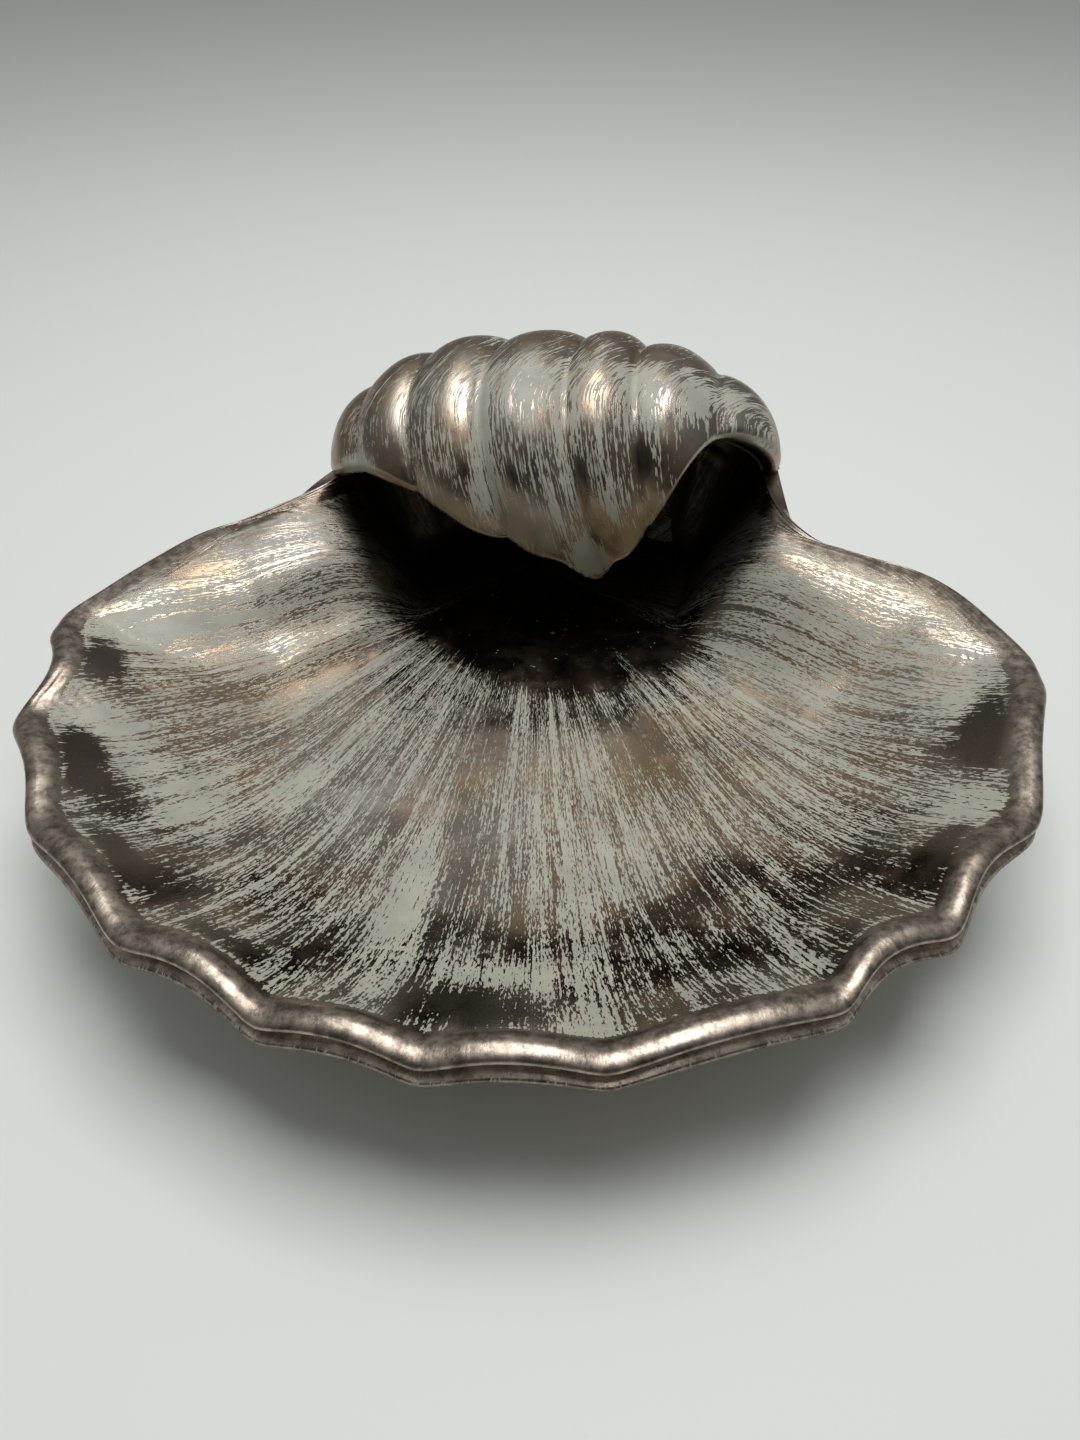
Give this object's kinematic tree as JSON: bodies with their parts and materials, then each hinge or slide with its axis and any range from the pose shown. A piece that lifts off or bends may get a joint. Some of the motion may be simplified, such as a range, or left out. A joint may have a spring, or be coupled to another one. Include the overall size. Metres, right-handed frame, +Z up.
{
  "type": "shell dish",
  "caption": "Fan-shaped ceramic serving dish like a scallop shell, with a fluted bowl, rolled scalloped rim and a curled whelk hood over its back, standing on a ring foot.",
  "frame": {"origin": "on the table under the middle of the dish's outline", "axes": "+Z up from the table, +X to the right when the hood is at the back, +Y towards the hood"},
  "size_m": [0.3184, 0.295, 0.1088],
  "materials": {
    "bowl_lustre": "pale grey-green glaze with pewter lustre dry-brushed along the flutes",
    "hood_lustre": "pale grey-green glaze with pewter lustre dry-brushed around the whorls",
    "slip": "fired slip under the glaze",
    "bisque": "bare fired clay, wiped clean of glaze on its underside"
  },
  "bodies": {
    "root": {"scallop_bowl": "bowl_lustre", "whelk_hood": "hood_lustre", "hood_slip_joint": "slip", "foot_ring": "bisque", "foot_slip_joint": "slip"}
  },
  "joints": []
}
